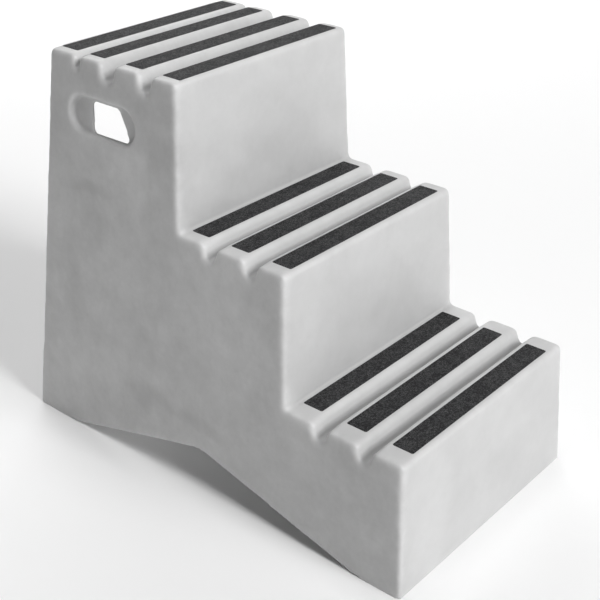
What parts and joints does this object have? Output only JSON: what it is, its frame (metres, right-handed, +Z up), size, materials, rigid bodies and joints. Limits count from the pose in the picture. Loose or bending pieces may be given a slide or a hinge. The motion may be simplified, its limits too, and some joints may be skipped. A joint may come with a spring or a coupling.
{
  "type": "plastic step stand",
  "caption": "One-piece moulded plastic step stand, hollow and open underneath, with hand holds, grooved treads and black anti-slip grit strips.",
  "frame": {"origin": "on the floor, in the middle of the base's bounding rectangle", "axes": "+Z up, +Y away from the climber, from the front riser to the back, +X across the stand to the climber's right"},
  "size_m": [0.504, 0.8742, 0.725],
  "materials": {
    "moulding": "mid grey moulded polyethylene, satin, faintly mottled and wavy, with soft light edges",
    "grit": "near-black mineral grit on a thin adhesive-backed strip"
  },
  "bodies": {
    "root": {"stand_body": "moulding", "lower_grip_strip_1": "grit", "lower_grip_strip_2": "grit", "lower_grip_strip_3": "grit", "middle_grip_strip_1": "grit", "middle_grip_strip_2": "grit", "middle_grip_strip_3": "grit", "top_grip_strip_1": "grit", "top_grip_strip_2": "grit", "top_grip_strip_3": "grit", "top_grip_strip_4": "grit"}
  },
  "joints": []
}
